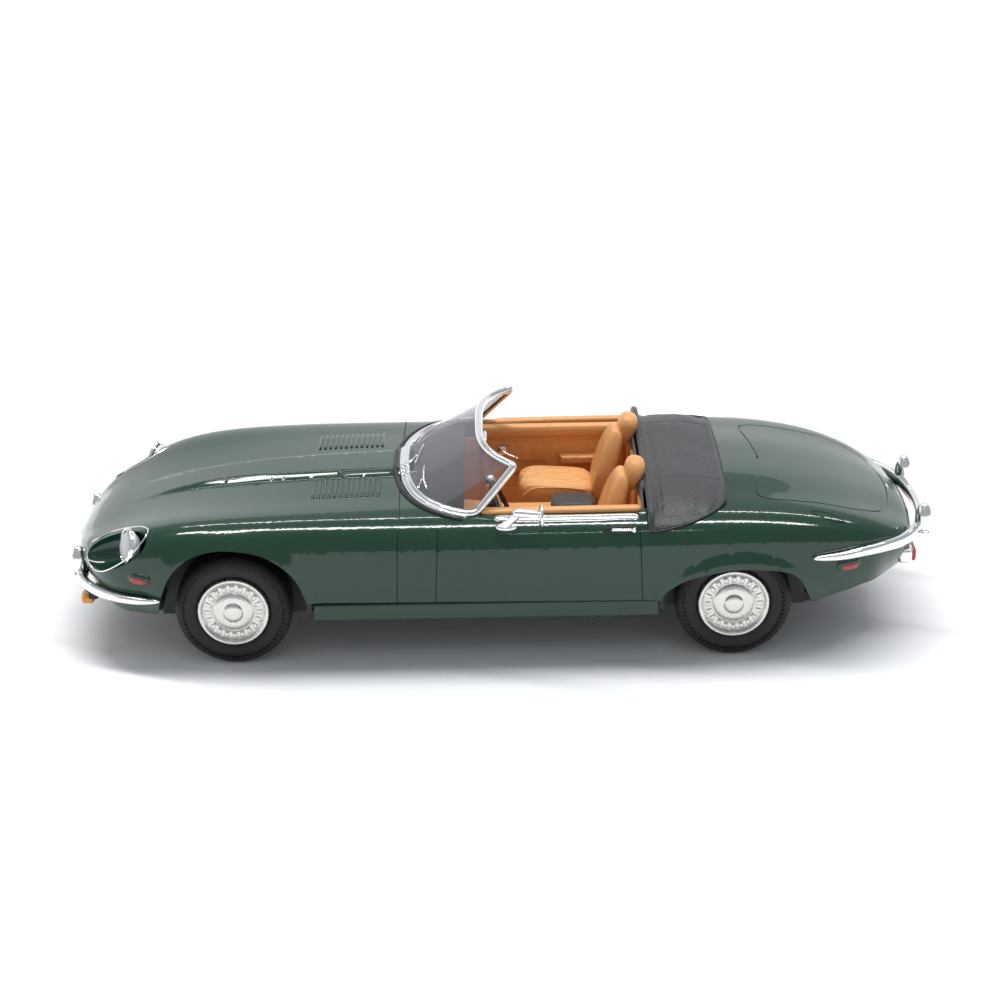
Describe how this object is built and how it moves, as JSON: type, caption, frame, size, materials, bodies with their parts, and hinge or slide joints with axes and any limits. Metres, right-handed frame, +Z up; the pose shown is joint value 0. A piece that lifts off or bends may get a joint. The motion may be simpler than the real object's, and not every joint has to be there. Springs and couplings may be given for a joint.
{
  "type": "diecast model car",
  "caption": "Collector's scale model of an open two-seat roadster: metal body, plated trim, moulded interior, folded hood and free-rolling wheels.",
  "frame": {"origin": "on the ground under the middle of the car's overall box", "axes": "+Z up, nose toward -X, the car's left side toward -Y"},
  "size_m": [0.1089, 0.041, 0.0256],
  "materials": {
    "body_paint": "deep gloss enamel",
    "black_plastic": "satin",
    "steel": "plain",
    "tan_plastic": "satin, moulded grain",
    "hood_vinyl": "grained vinyl",
    "bright_trim": "bright plated",
    "clear_pane": "clear",
    "lamp_silver": "silvered",
    "clear_lens": "ribbed clear",
    "amber_lens": "clear coloured",
    "red_lens": "clear coloured",
    "plated_hub": "satin silver plating",
    "tyre_rubber": "soft matt"
  },
  "bodies": {
    "car": {"armrest_box": "black_plastic", "base_plate": "black_plastic", "base_screws": "steel", "body_shell": "body_paint", "centre_console": "tan_plastic", "dashboard": "black_plastic", "door_card_left": "tan_plastic", "door_card_right": "tan_plastic", "door_handle_left": "bright_trim", "door_handle_right": "bright_trim", "door_mirror": "bright_trim", "door_strip_left": "bright_trim", "door_strip_right": "bright_trim", "exhaust_pipes": "bright_trim", "front_bumper": "bright_trim", "front_indicators": "amber_lens", "front_markers": "red_lens", "front_overrider_left": "bright_trim", "front_overrider_right": "bright_trim", "gear_lever": "black_plastic", "grille": "bright_trim", "headlamp_bowl_left": "lamp_silver", "headlamp_bowl_right": "lamp_silver", "headlamp_lens_left": "clear_lens", "headlamp_lens_right": "clear_lens", "headlamp_rim_left": "bright_trim", "headlamp_rim_right": "bright_trim", "hood_cover": "hood_vinyl", "interior_mirror": "bright_trim", "interior_tub": "tan_plastic", "rear_bumper": "bright_trim", "rear_markers": "red_lens", "rear_overrider_left": "bright_trim", "rear_overrider_right": "bright_trim", "seat_left": "tan_plastic", "seat_right": "tan_plastic", "sill_left": "body_paint", "sill_right": "body_paint", "steering_column": "black_plastic", "steering_wheel": "black_plastic", "tail_lamp_left": "red_lens", "tail_lamp_right": "red_lens", "windscreen_frame": "bright_trim", "windscreen_glass": "clear_pane", "wipers": "bright_trim"},
    "front_wheels": {"front_axle": "steel", "front_hub_left": "plated_hub", "front_hub_right": "plated_hub", "front_tyre_left": "tyre_rubber", "front_tyre_right": "tyre_rubber"},
    "rear_wheels": {"rear_axle": "steel", "rear_hub_left": "plated_hub", "rear_hub_right": "plated_hub", "rear_tyre_left": "tyre_rubber", "rear_tyre_right": "tyre_rubber"}
  },
  "joints": [
    {"name": "front_axle_spin", "type": "hinge", "parent": "car", "child": "front_wheels", "pos_m": [-0.03335, 0, 0.00725], "axis": [0, 1, 0], "continuous": true},
    {"name": "rear_axle_spin", "type": "hinge", "parent": "car", "child": "rear_wheels", "pos_m": [0.02865, 0, 0.00725], "axis": [0, 1, 0], "continuous": true}
  ]
}
